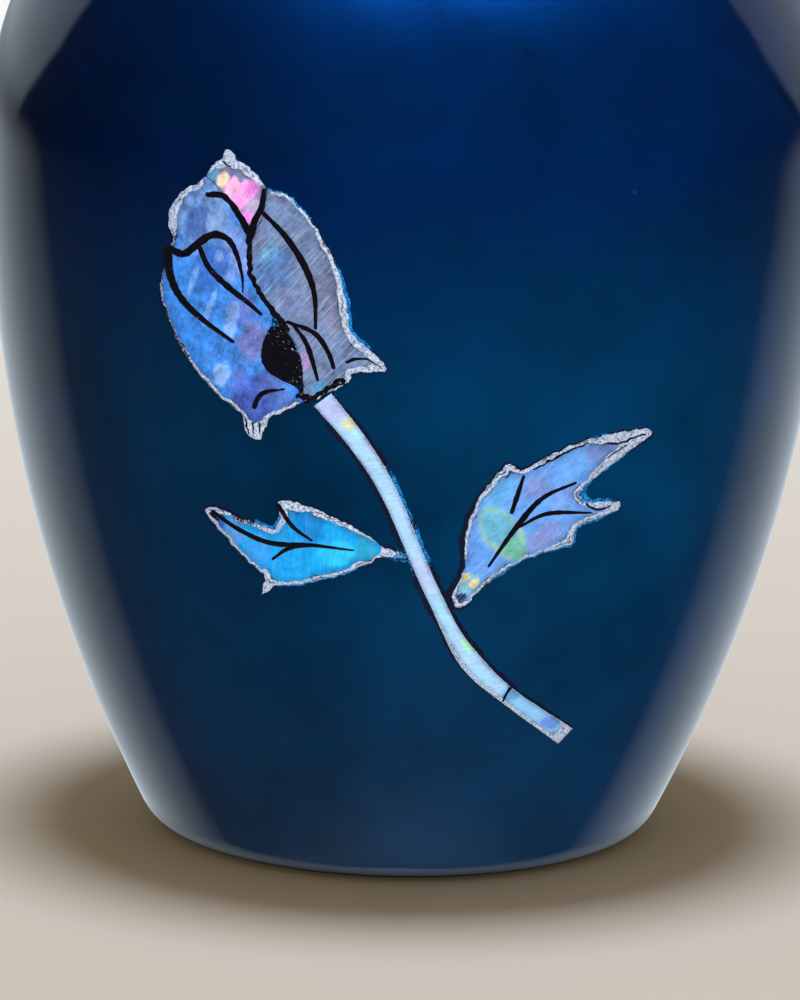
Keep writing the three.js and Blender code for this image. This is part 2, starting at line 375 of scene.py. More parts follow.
def makeShell():
    look = shellLook
    material, add = newMaterial("mother-of-pearl")
    coords = add("TexCoord", output="Object")
    tint = add("Attribute", [], "tint", "Color")
    grain = add("Attribute", [], "grain", "Vector")
    rimGap = add("Attribute", [], "rim", "Fac")
    figure = add("Attribute", [], "figure", "Vector")
    scratchy, mottled, pale = add("SeparateXYZ", [figure]).node.outputs
    wander = add("TexNoise", {
        "Vector": coords, "Scale": 1 / (look["wanderSize"] * mm), "Detail": 5, "Roughness": 0.62})
    inset = add("MapRange", [wander, *look["wanderSpan"]])
    inset = add("Math", [rimGap, inset], "ADD")
    lines = add("TexNoise", {"Vector": grain, "Scale": 1 / look["grainSize"], "Detail": 2})
    lined = add("MapRange", [lines, *look["grainSpan"]])
    cloud = add("TexNoise", {
        "Vector": coords, "Scale": 1 / (look["mottleSize"] * mm), "Detail": 8, "Roughness": 0.74})
    cloud = add("MapRange", [cloud, *look["mottleSpan"]])
    cloud = add("Math", [cloud, mottled], "MULTIPLY")
    shade = add("Math", [lined, cloud], "ADD")
    # painted shade darkening the pearl towards the rim
    paintedEdgeShade = add("MapRange", [inset, *look["edgeShadeSpan"]], "SMOOTHSTEP")
    shade = add("Math", [shade, paintedEdgeShade], "MULTIPLY")
    pearl = add("VectorMath", {0: tint, 3: shade}, "SCALE")
    drawn = add("Mapping", {"Vector": grain, "Scale": (1, look["scratchStretch"], 1)})
    scratch = add("TexNoise", {"Vector": drawn, "Scale": 1 / look["scratchSize"], "Detail": 1})
    scratch = add("MapRange", [scratch, *look["scratchSpan"]])
    scratch = add("Math", [scratch, scratchy], "MULTIPLY")
    pearl = add("Mix", {0: scratch, 6: pearl, 7: look["scratch"]}, "RGBA", 2)
    inside = add("MapRange", [inset, *look["rimSpan"]])
    grit = add("TexNoise", {
        "Vector": coords, "Scale": 1 / (look["gritSize"] * mm), "Detail": 3, "Roughness": 0.7})
    gritty = add("MapRange", [grit, *look["gritSpan"]])
    rim = add("Mix", {0: gritty, 6: look["rimShade"], 7: look["rim"]}, "RGBA", 2)
    stain = add("Math", [grit, look["stainGrit"], pale], "MULTIPLY_ADD")
    stain = add("MapRange", [stain, *look["stainSpan"]])
    rim = add("Mix", {0: stain, 6: rim, 7: look["rimStain"]}, "RGBA", 2)
    rimmed = add("Mix", {0: inside, 6: rim, 7: pearl}, "RGBA", 2)
    outer = add("Math", [inset, look["secondCrack"]], "ADD")
    outer = add("Math", [outer], "ABSOLUTE")
    away = add("Math", [inset], "ABSOLUTE")
    away = add("Math", [away, outer], "MINIMUM")
    crack = add("MapRange", [away, *look["crackSpan"]])
    broken = add("MapRange", [wander, *look["crackBreaks"]])
    crack = add("Math", [crack, broken], "MULTIPLY")
    cracked = add("Mix", {0: crack, 6: rimmed, 7: look["crack"]}, "RGBA", 2)
    polish = add("MapRange", [inside, *look["polishSpan"]])
    relief = add("Mix", {0: inside, 2: grit, 3: lines}, "FLOAT")
    raised = add("Bump", {"Strength": 0.25, "Distance": 0.1 * mm, "Height": relief})
    finishMaterial(add, {
        "Base Color": cracked, "Roughness": polish, "IOR": 1.55, "Normal": raised,
        "Coat Weight": 0.25, "Coat Roughness": 0.08, "Thin Film Thickness": 380, "Thin Film IOR": 1.7})
    return material


# Black resin filler, laid in lines and left slightly proud: a soft black gloss, and where the filler is
# coarse a sprinkle of pale shell grit.
resinLook = {
    "black": "#0a0912",
    "brown": "#130f18",
    "cloudSize": 2,
    "grit": "#c4cbe0",
    "gritSize": 0.42,
    "gritSpan": (0.74, 0.8, 0, 1),
    "coarseGrit": 0.085,
}


def makeResin():
    look = resinLook
    material, add = newMaterial("black resin filler")
    coords = add("TexCoord", output="Object")
    coarse = add("Attribute", [], "coarse", "Fac")
    cloud = add("TexNoise", {"Vector": coords, "Scale": 1 / (look["cloudSize"] * mm), "Detail": 3})
    black = add("Mix", {0: cloud, 6: look["black"], 7: look["brown"]}, "RGBA", 2)
    grain = add("TexNoise", {
        "Vector": coords, "Scale": 1 / (look["gritSize"] * mm), "Detail": 2, "Roughness": 0.6})
    heap = add("Math", [coarse, look["coarseGrit"], grain], "MULTIPLY_ADD")
    gritty = add("MapRange", [heap, *look["gritSpan"]])
    strewn = add("Mix", {0: gritty, 6: black, 7: look["grit"]}, "RGBA", 2)
    rough = add("Math", [grain, coarse], "MULTIPLY")
    raised = add("Bump", {"Strength": 0.8, "Distance": 0.25 * mm, "Height": rough})
    finishMaterial(add, {"Base Color": strewn, "Roughness": 0.3, "IOR": 1.5, "Normal": raised})
    return material


# Cement round the plates: a near-black line, widened in places into painted shadow, with bright blue grains
# painted as glints where light catches the lacquer's edge
cementShadowGlintLook = {
    # near-black line, and painted shadow where the line is wide
    "dark": "#06122b",
    "brown": "#191c35",
    # painted glints: blue grains where light catches the lacquer's edge
    "blue": "#073a7c",
    "grain": "#1d9bea",
    "grainSize": 0.3,
    "grainSpan": (0.42, 0.62, 0, 1),
    "glintCover": 0.9,
    "glintSpan": (0.85, 1, 0, 1),
}


def makeCementShadowGlint():
    look = cementShadowGlintLook
    material, add = newMaterial("cement and painted shadow")
    coords = add("TexCoord", output="Object")
    bright = add("Attribute", [], "bright", "Fac")
    grain = add("TexNoise", {
        "Vector": coords, "Scale": 1 / (look["grainSize"] * mm), "Detail": 2, "Roughness": 0.6})
    grained = add("MapRange", [grain, *look["grainSpan"]])
    dark = add("Mix", {0: grained, 6: look["dark"], 7: look["brown"]}, "RGBA", 2)
    blue = add("Mix", {0: grained, 6: look["blue"], 7: look["grain"]}, "RGBA", 2)
    # painted glints spread over the cement as far as each place's brightness says
    glint = add("Math", [bright, look["glintCover"], grain], "MULTIPLY_ADD")
    glint = add("MapRange", [glint, *look["glintSpan"]])
    mixed = add("Mix", {0: glint, 6: dark, 7: blue}, "RGBA", 2)
    raised = add("Bump", {"Strength": 0.5, "Distance": 0.15 * mm, "Height": grain})
    finishMaterial(add, {"Base Color": mixed, "Roughness": 0.5, "Specular IOR Level": 0.2, "Normal": raised})
    return material


lacquer = makeLacquer()
shell = makeShell()
resin = makeResin()
cementShadowGlintMaterial = makeCementShadowGlint()
print("materials ready: lacquer, mother-of-pearl, black resin and cement")


# Rose: plates let into the front and left half a millimetre proud, with a softened edge, in mm; how near
# bud pieces move together, and how far; how stations blend; and how far the grain is drawn out
inlay = {
    "proud": 0.5,
    "edgeDrop": 0.28,
    "edgeRound": 0.7,
    "bedDepth": 0.45,
    "spacing": 0.36,
    "rings": 60,
    "crowding": 1.5,
    "under": [1, 0.9, 0.6, 0.3, 0],
    "ragged": 0.3,
    "meetFrom": 2,
    "meetTo": 3,
    "meetShare": 0.47,
    "rimShare": 0.85,
    "stationBlur": 0.6,
    "grainStretch": 7,
}

# Each plate: corners seen from the front, anticlockwise, as across, up and the bow of the edge that
# follows; a centre that sees the whole edge; the way its grain runs, in degrees; how scratched and how
# mottled it is; its ground colour; its patches as across, up, radius, colour and strength, with their own
# angle and stretch where they don't follow the grain; and stations of its rim as across, up, width and
# paleness.
petalLeft = {
    "node": "petal_left", "slot": "shell_lavender", "centre": (-31.8, 107.4),
    "grainAngle": 74, "scratch": 0.06, "mottle": 1, "ground": "#3f84e2", "seed": 11,
    "corners": [
        (-19.2, 99.4, 0), (-20.4, 101.6, -0.3), (-25.2, 114.4, 0), (-29.5, 123.5, 0), (-29.6, 128.6, 0.085),
        (-37.2, 139.6, 0.04), (-41.6, 137.1, 0.06), (-44.1, 133.2, 0.12), (-43.1, 128.6, 0.03),
        (-45.9, 119.1, 0.105), (-29.9, 96.1, 0), (-29.8, 93.4, 0.2), (-26.5, 91.8, 0), (-25.2, 96.2, 0.03)],
    "patches": [
        (-37, 134, 6, "#6c95d6", 1), (-31.6, 126, 3.6, "#7694de", 0.9),
        (-38.6, 131.5, 2.6, "#4262ac", 0.85), (-35.4, 132, 1.6, "#8aa9e4", 0.8),
        (-36, 124, 3.4, "#3668c6", 0.9), (-42, 117, 3.6, "#3a86e8", 0.9), (-40, 110, 4, "#3684e8", 0.9),
        (-28.5, 98, 4.4, "#4359b8", 0.95), (-28.2, 110.5, 2.8, "#6c74b8", 0.9),
        (-30, 116.4, 2.4, "#637cd6", 0.85), (-32.4, 112.4, 1.3, "#80abf4", 0.85),
        (-34, 103.6, 1.6, "#86aef2", 0.9), (-39.4, 120.8, 0.6, "#82b2f4", 0.6, 72, 6),
        (-36.2, 115.8, 0.6, "#82b2f6", 0.6, 72, 7), (-31.8, 115.6, 1.4, "#84acf2", 0.75),
        (-30.6, 103, 1.8, "#5570cc", 0.8), (-34.6, 125.6, 0.9, "#7ba4ea", 0.7),
        (-24.6, 102.6, 2.6, "#5366b6", 0.85), (-22.4, 99.4, 1.6, "#5672c0", 0.8)],
    "rims": [
        (-37.1, 140.3, 1, 0.85), (-41.2, 137.1, 1.2, 0.75), (-43.2, 132.5, 2, 0.75),
        (-43.3, 127.7, 0.5, 0.4), (-45.6, 122.3, 0.5, 0.25), (-45.7, 118.2, 0.6, 0.4),
        (-43.3, 112.1, 0.8, 0.3), (-41, 107.5, 1, 0.35), (-38, 102.9, 0.9, 0.7), (-33.9, 99.6, 0.9, 0.9),
        (-30.1, 96.5, 0.9, 0.95), (-27.9, 93.3, 2.6, 1), (-25, 96.2, 1, 0.95), (-20.6, 97.8, 0.6, 0.95),
        (-18.1, 99.3, 0.4, 0.9)],
}
petalRight = {
    "node": "petal_right", "slot": "shell_silver", "centre": (-16.5, 114),
    "grainAngle": 47, "scratch": 0.42, "mottle": 0.8, "ground": "#6c7ea8", "seed": 23,
    "corners": [
        (-17.6, 99.5, 0), (-10.4, 103.7, 0), (-10.1, 105.4, 0), (-3.9, 106, 0), (-4.1, 107.4, 0),
        (-10.7, 113.4, 0.1), (-21.6, 137.3, 0.08), (-25.4, 138.4, -0.05), (-28, 128.9, 0),
        (-28.1, 123.6, 0.06), (-21.1, 112.9, -0.07), (-18.1, 102.1, 0)],
    "patches": [
        (-22, 133, 4, "#7088b6", 0.8), (-25, 123.5, 3.6, "#4f76b2", 0.9), (-25.4, 127, 1.6, "#5fa4d8", 0.7),
        (-14.5, 121, 3.6, "#676f92", 0.8), (-11.8, 116, 2.6, "#787a9c", 0.8),
        (-10, 108.8, 3, "#7086b8", 0.9), (-19, 107, 1.6, "#a98bca", 0.85),
        (-15.8, 102.3, 1.4, "#4f9cd4", 0.9), (-21, 118, 2.4, "#7686ba", 0.7)],
    "rims": [
        (-26.1, 139.7, 1.4, 0.9), (-22.5, 137.3, 0.5, 0.75), (-18.5, 134.3, 0.5, 0.8),
        (-15.5, 130.1, 0.7, 0.85), (-13.3, 123.6, 1, 0.9), (-11.8, 118.6, 1.5, 0.95),
        (-11, 113.5, 1.3, 0.9), (-7.3, 109.2, 1.6, 0.95), (-4, 106.7, 2.2, 1), (-9.1, 106.5, 1.4, 0.9),
        (-11.9, 103.4, 1.2, 0.85), (-16.2, 100.4, 0.4, 0.5)],
}
petalCentre = {
    "node": "petal_centre", "slot": "shell_pink", "centre": (-31.5, 140),
    "grainAngle": 62, "scratch": 0.15, "mottle": 0.5, "ground": "#8480ac", "seed": 31,
    "corners": [
        (-28.7, 131.2, 0.1), (-26.8, 138.6, 0.05), (-27.2, 140.6, 0.06), (-31.6, 143.6, 0),
        (-31.8, 144.6, 0.3), (-34.2, 144.5, 0), (-34.4, 143.6, 0.05), (-37, 141.1, 0.1), (-36, 140.4, 0)],
    "patches": [
        (-31, 141.6, 2.4, "#7a84b2", 0.95), (-30.4, 137.4, 2, "#f0a4ec", 1),
        (-32.4, 138.6, 1.4, "#f2b4dc", 0.95), (-34, 139.9, 1.1, "#f0dcc0", 1),
        (-35.8, 140.9, 1, "#4fb2e6", 0.9), (-28.4, 138.8, 1.2, "#ee84e6", 0.9),
        (-29.4, 133.6, 1.3, "#f08ce8", 1), (-28.4, 135.6, 1.1, "#b4a8cc", 0.9)],
    "rims": [
        (-37.1, 140.3, 0.7, 0.85), (-33.1, 143.9, 1.9, 0.8), (-29.1, 142.7, 1.3, 0.95),
        (-26.6, 140.6, 1.2, 0.95)],
}
leafLeft = {
    "node": "leaf_left", "slot": "shell_azure", "centre": (-21.5, 71),
    "grainAngle": 86, "scratch": 0.1, "mottle": 0.45, "ground": "#149ff0", "seed": 43,
    "corners": [
        (-37.4, 77, 0.04), (-25.7, 65, 0), (-26.5, 61, 0.2), (-24.6, 63, 0.055), (-4, 70.2, 0),
        (0.4, 69.2, 0), (0.6, 70.4, 0), (-4.2, 72.3, 0.06), (-20.8, 80.1, 0.1), (-23.5, 79.8, -0.2),
        (-24.4, 74.3, 0), (-34.9, 77.5, 0.1)],
    "patches": [
        (-34.5, 75, 1.6, "#2456c0", 0.9), (-31.7, 73, 2, "#5c98ea", 0.85), (-27, 70, 2.4, "#3a98ee", 0.8),
        (-12.4, 70.4, 2.6, "#26c2f6", 0.9, 15, 1.6), (-7, 72, 2.2, "#28a4d4", 0.9),
        (-17.6, 76.4, 3, "#0f7ecf", 0.9), (-21, 67, 2.2, "#16a4f4", 0.8), (-16.2, 68, 1.6, "#10a8f6", 0.7)],
    "rims": [
        (-37.3, 76.8, 1.6, 1), (-35.6, 77, 1.2, 1), (-35.9, 74.3, 1, 0.95), (-33.9, 71.6, 0.9, 0.95),
        (-30.3, 68.8, 0.8, 0.9), (-27.5, 67.1, 0.8, 0.9), (-25.3, 64.9, 1.4, 0.95), (-26.1, 61.9, 3, 1),
        (-22.2, 63.7, 1, 0.95), (-16.5, 65.1, 0.9, 0.9), (-11, 67.5, 0.8, 0.9), (-8.6, 68.5, 1.2, 0.95),
        (-6.2, 70.1, 0.3, 0.6), (-4.3, 72.5, 0.15, 0.7), (-7, 73.5, 0.3, 0.6), (-10, 76, 0.7, 0.6),
        (-13.9, 77.5, 1, 0.45), (-17.1, 78.5, 1.2, 0.45), (-20.2, 79.7, 1.8, 1), (-22.9, 80.1, 1.6, 1),
        (-23.1, 75.7, 1.4, 1), (-24.5, 74.4, 0.9, 0.6), (-27.5, 75.3, 0.7, 0.4), (-30.6, 75.9, 0.7, 0.3),
        (-33.1, 76.4, 0.7, 0.45), (-3.2, 71, 2, 0.62), (-1, 70.2, 0.6, 0.35)],
}
leafRight = {
    "node": "leaf_right", "slot": "shell_periwinkle", "centre": (12.5, 70),
    "grainAngle": 46, "scratch": 0.2, "mottle": 0.5, "ground": "#659ff0", "seed": 59,
    "corners": [
        (9.7, 60.1, 0.15), (12.2, 61, -0.11), (31.2, 71.7, 0), (32.2, 75.4, 0), (40, 78.1, 0.3),
        (39.8, 79.7, 0), (33.4, 80.1, 0), (31.8, 81.8, -0.04), (45.7, 91.7, 0), (45.6, 93.5, 0.08),
        (21.3, 86.8, 0), (19.1, 88.6, 0.13), (11.4, 68, 0), (9, 63, 0.05)],
    "patches": [
        (17.1, 82.4, 2.6, "#62aef0", 0.8), (24.4, 84.2, 2.2, "#7f8fd0", 0.8),
        (27.1, 88, 2.6, "#5f9cf0", 0.85), (31, 87.4, 2.6, "#6aa6f4", 0.8), (36, 90.4, 2.4, "#6f86c8", 0.85),
        (29.6, 81.6, 2.4, "#74a0ee", 0.8), (26.4, 74.4, 2, "#8290d8", 0.85),
        (24.6, 73, 1.6, "#8c94d6", 0.7), (18.1, 74.8, 3.5, "#a2cc94", 1, 127, 1.75),
        (17.7, 75.4, 2.9, "#62aed2", 1, 127, 1.75), (20.4, 71.6, 2, "#6cb6a8", 1, 127, 1.5),
        (13.4, 70.6, 1.8, "#5f98ee", 0.8), (11.8, 64.9, 1.9, "#84c6e6", 0.95),
        (11.4, 66.2, 0.8, "#d6d39a", 1), (13.1, 65, 0.8, "#e6dc9a", 1), (10.6, 62.1, 0.9, "#1a1f52", 0.95)],
    "rims": [
        (19.2, 88, 1.2, 0.95), (16.7, 84.7, 0.9, 0.95), (14, 80.9, 0.7, 0.95), (12.1, 76.4, 0.6, 0.95),
        (11.2, 71.9, 0.5, 0.9), (11.4, 68.3, 0.2, 0.5), (9.3, 64.3, 0.5, 0.7), (9.9, 60.6, 0.9, 0.9),
        (12.2, 61.5, 0.8, 0.8), (15, 64.5, 0.8, 0.5), (17.2, 66.9, 0.8, 0.6), (20.3, 69.2, 0.7, 0.95),
        (24.8, 70.2, 0.8, 0.95), (29.7, 71.8, 1.3, 1), (31.4, 73.5, 1.8, 1), (31.6, 75.6, 1.2, 0.95),
        (35, 77.5, 1.2, 0.95), (39.6, 78.2, 2.4, 1), (36.9, 80, 1.4, 0.95), (33.1, 79.7, 0.8, 0.6),
        (31.4, 81.7, 1, 0.95), (33, 84.3, 1, 1), (34.7, 86.3, 1.6, 1), (38.6, 88.6, 2.6, 1),
        (42.4, 91, 4, 1), (45.2, 92.8, 4, 1), (40.8, 93.2, 3.4, 1), (37.9, 92.6, 1.6, 0.9),
        (34.2, 92, 0.9, 0.7), (29.9, 90.8, 0.7, 0.6), (26, 88.9, 0.8, 0.95), (22.9, 87.6, 0.8, 0.95),
        (21.2, 86.7, 0.6, 0.9)],
}
plates = [petalLeft, petalRight, petalCentre, leafLeft, leafRight]

# Black oval between the large petals: a low mound of resin, coarse along its right edge, in mm
oval = {
    "corners": [(-19.9, 103.2, 0.15), (-24, 113.2, 0.42)],
    "seed": 97,
    "rings": 18,
    "under": [1, 0.5, 0],
    "lift": 0.42,
    "crown": 0.35,
    "ragged": 0.12,
    "seam": [(-24.4, 113.9), (-21.2, 110.4), (-19.6, 106.6), (-19.2, 102.8)],
    "seamSteps": 80,
    "coarseReach": (0.3, 4.2),
    "bump": 0.12,
    "bumpSize": 0.8,
    "bumpSeed": 5,
}
edges = {}
for plate in plates:
    edges[plate["node"]] = outlineOf(plate["corners"], inlay["spacing"], inlay["ragged"], plate["seed"])
edges["bud_inset"] = outlineOf(oval["corners"], inlay["spacing"], oval["ragged"], oval["seed"])
budNodes = ["petal_left", "petal_right", "petal_centre", "bud_inset"]


# Bud pieces meet: where an outline runs close to the others it moves nearly half way across the gap.
# Also says which of its points stay on the bud's outer edge.
def meeting(node):
    own = edges[node]
    if node not in budNodes:
        return own, np.full(len(own), True)
    others = np.concatenate([edges[other] for other in budNodes if other != node])
    distance, gap = nearest(own, others)
    share = 1 - smoothStep(distance, inlay["meetFrom"], inlay["meetTo"])
    return own - inlay["meetShare"] * share[:, None] * gap, share < 0.5


# Places in mm, read along a way at an angle to the right, and across it
def turnedTo(degrees, right, up):
    angle = math.radians(degrees)
    along = right * math.cos(angle) + up * math.sin(angle)
    return along, up * math.cos(angle) - right * math.sin(angle)


# Patches: drawn out along the grain, with an edge that wavers less on those with their own angle, in long
# and short waves, and fades; waves and fade as shares of the radius
patching = {
    "stretch": 1.5,
    "waver": 0.14,
    "ownWaver": 0.05,
    "longWaves": 1.3,
    "shortWaves": 0.5,
    "shortShare": 0.7,
    "fade": (0.72, 1.14),
}


# Colour of each place: the ground, then each patch laid over it in turn with a soft wavering edge
def tinted(places, ground, patches, degrees):
    colour = np.zeros((*places.shape[:-1], 4)) + np.array(linearColour(ground))
    for x, z, radius, code, strength, *own in patches:
        turn, stretch = own or (degrees, patching["stretch"])
        waver = patching["ownWaver" if own else "waver"]
        along, across = turnedTo(turn, places[..., 0] - x, places[..., 1] - z)
        distance = np.hypot(along / stretch, across) / radius
        distance = distance + waver * ripple(places, radius * patching["longWaves"], int(abs(x * 10)))
        waver = patching["shortShare"] * waver
        distance = distance + waver * ripple(places, radius * patching["shortWaves"], int(abs(z * 10)))
        weight = strength * (1 - smoothStep(distance, *patching["fade"]))
        colour = colour + weight[..., None] * (np.array(linearColour(code)) - colour)
    return colour


# Width and paleness of the rim at each place, blended from the stations by closeness
def rimAt(places, stations):
    spots = np.array(stations)
    gap = places[..., None, :] - spots[:, :2]
    weight = 1 / ((gap ** 2).sum(-1) + inlay["stationBlur"]) ** 2
    weight = weight / weight.sum(-1, keepdims=True)
    return (weight * spots[:, 2]).sum(-1), (weight * spots[:, 3]).sum(-1)


# Across and along the grain, in mm, the second drawn out so that patterns run in lines
def grainOf(places, degrees, seed):
    along, across = turnedTo(degrees, places[..., 0], places[..., 1])
    return np.stack([across, along / inlay["grainStretch"], np.zeros_like(along) + seed], axis=-1)


# A plate: points run straight from the centre to the edge, P = centre + share (edge - centre), on the
# wall at the plate's height, lower near the edge; then down the edge and back to the centre beneath.
def makePlate(plate):
    outline, outer = meeting(plate["node"])
    spoke = outline - np.array(plate["centre"])
    turn = np.unwrap(np.arctan2(spoke[:, 1], spoke[:, 0]))
    turn = np.maximum.accumulate(turn)
    reach = np.linalg.norm(spoke, axis=1)
    spoke = np.stack([reach * np.cos(turn), reach * np.sin(turn)], axis=-1)
    share = 1 - (1 - np.linspace(0, 1, inlay["rings"])) ** inlay["crowding"]
    share = np.concatenate([share, inlay["under"]])
    places = np.array(plate["centre"]) + share[:, None, None] * spoke[None]
    edge = nearest(places, outline)[0]
    fall = np.clip(1 - edge / inlay["edgeRound"], 0, 1) ** 2
    lift = inlay["proud"] - inlay["edgeDrop"] * fall
    lift[inlay["rings"]:] = -inlay["bedDepth"]
    width, pale = rimAt(places, plate["rims"])
    same = np.ones_like(pale)
    piece = ringMesh(
        plate["node"] + "_shell", onWall(places, lift), shell, True,
        rim=nearest(places, outline[outer])[0] - inlay["rimShare"] * width,
        figure=np.stack([plate["scratch"] * same, plate["mottle"] * same, pale], axis=-1),
        tint=tinted(places, plate["ground"], plate["patches"], plate["grainAngle"]),
        grain=grainOf(places, plate["grainAngle"], plate["seed"]))
    place(piece, plate["slot"], plate["node"])
    return outline


outlines = [makePlate(plate) for plate in plates]
print("plates laid:", ", ".join(plate["node"] for plate in plates))


# Stem: a strip along a smooth route seen from the front, narrowest half way with a bulge below that, and
# parted at a joint. It starts under the petal above it and has a thin rim, wider along its lower edge and
# at its far end, in mm.
stem = {
    "route": [(-15.3, 100.2), (-8.5, 91.9), (-2.6, 82.1), (5.5, 63), (14, 47.5), (31.5, 31.5)],
    "stops": 1200,
    "endWidth": 4.3,
    "middleWidth": 3,
    "bulge": 1.1,
    "bulgeAt": 0.705,
    "bulgeReach": 0.08,
    "joint": 0.8,
    "columns": 24,
    "crowding": 1.4,
    "under": [1, 0.3, -0.3, -1],
    "ragged": 0.12,
    "raggedSize": 2,
    "sidesApart": 40,
    "proud": 0.44,
    "rimWidth": 0.2,
    "lowerRim": 0.6,
    "lowerRimFrom": (0.5, 0.7),
    "capRound": 1.4,
    "rimScale": 0.5,
    "grainAngle": 8,
    "scratch": 0.2,
    "mottle": 0.2,
    "paleness": 1,
}
stemParts = [
    {"node": "stem", "from": 0, "to": stem["joint"], "rows": 220, "cap": 0, "ground": "#a6d0f9",
     "seed": 71, "patches": [
         (-13, 98.6, 2.3, "#b2b6f0", 0.9), (-10.3, 95.9, 1.2, "#d6d6b0", 0.95),
         (-8.6, 94, 1.2, "#a2e2f6", 0.8), (3, 67, 3.4, "#b4c6fa", 0.8), (7, 58.8, 3, "#a0d6fb", 0.8),
         (12, 52.4, 0.7, "#a2eec2", 1, 122, 2.8), (16, 47, 2.4, "#9cd2f9", 0.8)]},
    {"node": "stem_end", "from": stem["joint"], "to": 1, "rows": 80, "cap": 2.2, "ground": "#88c4f5",
     "seed": 83, "patches": [
         (20.6, 41.6, 1.2, "#5a94ca", 0.9), (24.4, 38, 2, "#8ccaf6", 0.8),
         (28.4, 35.2, 1.5, "#688ee8", 0.9)]},
]


# The first and last rows of an array, said twice: values for the closed ends of a strip
def withEnds(rows):
    return np.concatenate([rows[:1], rows, rows[-1:]])


# A strip: its middle runs along the route, its section is a flat top with softened edges that goes down
# the sides and back beneath, and both ends close on a point in the middle.
def makeStrip(part):
    route = through(stem["route"], stem["stops"])
    whole = stem["stops"] - 1
    first, last = int(part["from"] * whole), int(part["to"] * whole)
    stops = np.linspace(first, last, part["rows"])
    share = stops / whole
    middle = readAt(stops, np.arange(stem["stops"]), route)
    side = leftOf(np.gradient(middle, axis=0))
    flare = (2 * stops / whole - 1) ** 2
    bulge = stem["bulge"] * np.exp(-((share - stem["bulgeAt"]) / stem["bulgeReach"]) ** 2)
    half = (stem["middleWidth"] + (stem["endWidth"] - stem["middleWidth"]) * flare + bulge) / 2
    across = np.linspace(-1, 1, stem["columns"])
    across = np.sign(across) * (1 - (1 - np.abs(across)) ** stem["crowding"])
    across = np.concatenate([across, stem["under"]])
    beneath = np.arange(len(across)) >= stem["columns"]
    apart = middle[:, None] + stem["sidesApart"] * side[:, None] * np.sign(across)[:, None]
    wander = stem["ragged"] * ripple(apart, stem["raggedSize"], part["seed"])
    reach = (half[:, None] + wander) * across
    places = middle[:, None] + reach[..., None] * side[:, None]
    step = np.linalg.norm(np.diff(route, axis=0), axis=1).mean()
    toEnd = (last - stops)[:, None] * step
    inward = np.clip(half[:, None] - np.abs(reach), 0, None)
    gap = np.minimum(inward, toEnd) if part["cap"] else inward
    fall = np.clip(1 - gap / inlay["edgeRound"], 0, 1) ** 2
    lift = np.where(beneath, -inlay["bedDepth"], stem["proud"] - inlay["edgeDrop"] * fall)
    widened = stem["lowerRim"] * smoothStep(share, *stem["lowerRimFrom"])[:, None] * (across < 0)
    rim = (inward - stem["rimWidth"] - widened) / stem["rimScale"]
    if part["cap"]:
        rim = np.minimum(rim, toEnd - part["cap"] - stem["capRound"] * across ** 2)
    figure = np.zeros((*rim.shape, 3)) + (stem["scratch"], stem["mottle"], stem["paleness"])
    grid = withEnds(onWall(places, lift))
    grid[[0, -1]] = onWall(middle[[0, -1], None], 0)
    piece = ringMesh(
        part["node"] + "_shell", grid, shell, rim=withEnds(rim), figure=withEnds(figure),
        tint=withEnds(tinted(places, part["ground"], part["patches"], stem["grainAngle"])),
        grain=withEnds(grainOf(places, stem["grainAngle"], part["seed"])))
    place(piece, "shell_pale_blue", part["node"])
    return np.concatenate([places[:, stem["columns"] - 1], places[::-1, 0]])


outlines += [makeStrip(part) for part in stemParts]
print("stem laid in", len(stemParts), "strips")


# The mound: P = centre + share (edge - centre), crowned as 1 - share squared
def makeOval():
    outline = meeting("bud_inset")[0]
    centre = outline.mean(axis=0)
    share = np.concatenate([np.linspace(0, 1, oval["rings"]), oval["under"]])
    places = centre + share[:, None, None] * (outline - centre)[None]
    seam = through(oval["seam"], oval["seamSteps"])
    coarse = 1 - smoothStep(nearest(places, seam)[0], *oval["coarseReach"])
    bumps = oval["bump"] * coarse * ripple(places, oval["bumpSize"], oval["bumpSeed"])
    lift = oval["lift"] + oval["crown"] * (1 - share[:, None] ** 2) + bumps
    lift[oval["rings"]:] = -inlay["bedDepth"]
    piece = ringMesh("bud_oval", onWall(places, lift), resin, True, coarse=coarse)
    place(piece, "black_resin", "bud_inset")
    return outline


outlines.append(makeOval())
print("black oval laid")


